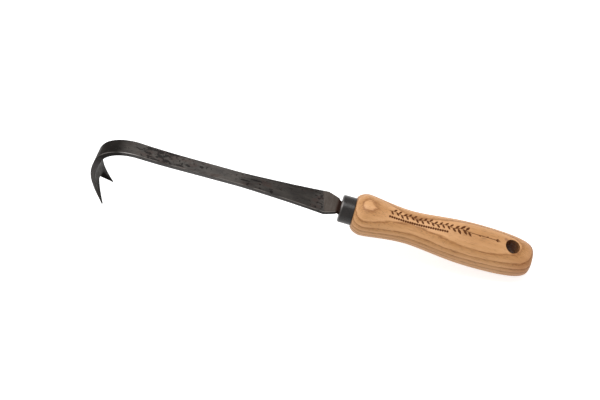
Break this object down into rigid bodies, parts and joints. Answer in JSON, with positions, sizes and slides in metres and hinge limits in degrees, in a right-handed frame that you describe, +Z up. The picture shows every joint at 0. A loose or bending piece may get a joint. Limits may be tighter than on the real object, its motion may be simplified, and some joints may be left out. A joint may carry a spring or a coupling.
{
  "type": "joint scraper",
  "caption": "Hand joint scraper: a flat forged steel strap curls down into a forked claw, and its tang sits in a black ferrule and a turned wooden handle with a hanging hole.",
  "frame": {"origin": "centre of the footprint at bench height: the tool lies on its two claw tips and the underside of its handle", "axes": "+X towards the butt of the handle and -X towards the claw, +Y across the tool, +Z up, away from the bench"},
  "size_m": [0.3466, 0.033, 0.0791],
  "materials": {
    "forged_steel": "dark grey-brown forge scale, worn brighter along the near edges",
    "black_steel": "black satin",
    "ash": "ash turned along the grain, satin, with a burnt ornament"
  },
  "bodies": {
    "root": {"blade": "forged_steel", "ferrule": "black_steel", "handle": "ash"}
  },
  "joints": []
}
